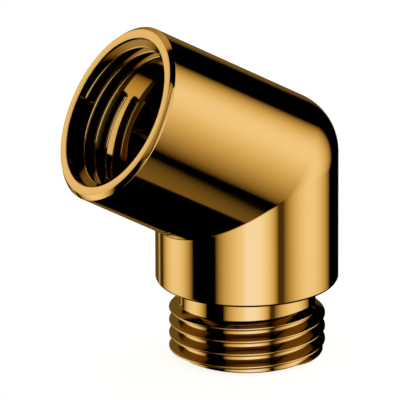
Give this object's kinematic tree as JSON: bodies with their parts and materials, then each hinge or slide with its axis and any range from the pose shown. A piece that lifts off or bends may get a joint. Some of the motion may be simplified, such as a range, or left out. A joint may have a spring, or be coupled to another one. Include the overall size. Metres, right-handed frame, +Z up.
{
  "type": "hand shower adapter",
  "caption": "Angled shower adapter: a polished elbow with a threaded inlet socket and a threaded outlet spigot, which turns a hose away from a handle.",
  "frame": {"origin": "centre of the outlet's end face, on the outlet's axis", "axes": "+Z up along the outlet's axis towards the elbow; the inlet tube rises towards -X, 30 degrees above level; the XZ plane is the plane of symmetry"},
  "size_m": [0.0374, 0.0244, 0.0469],
  "materials": {
    "polished_gold": "mirror-polished, gold-toned coating on brass"
  },
  "bodies": {
    "root": {"elbow_body": "polished_gold"}
  },
  "joints": []
}
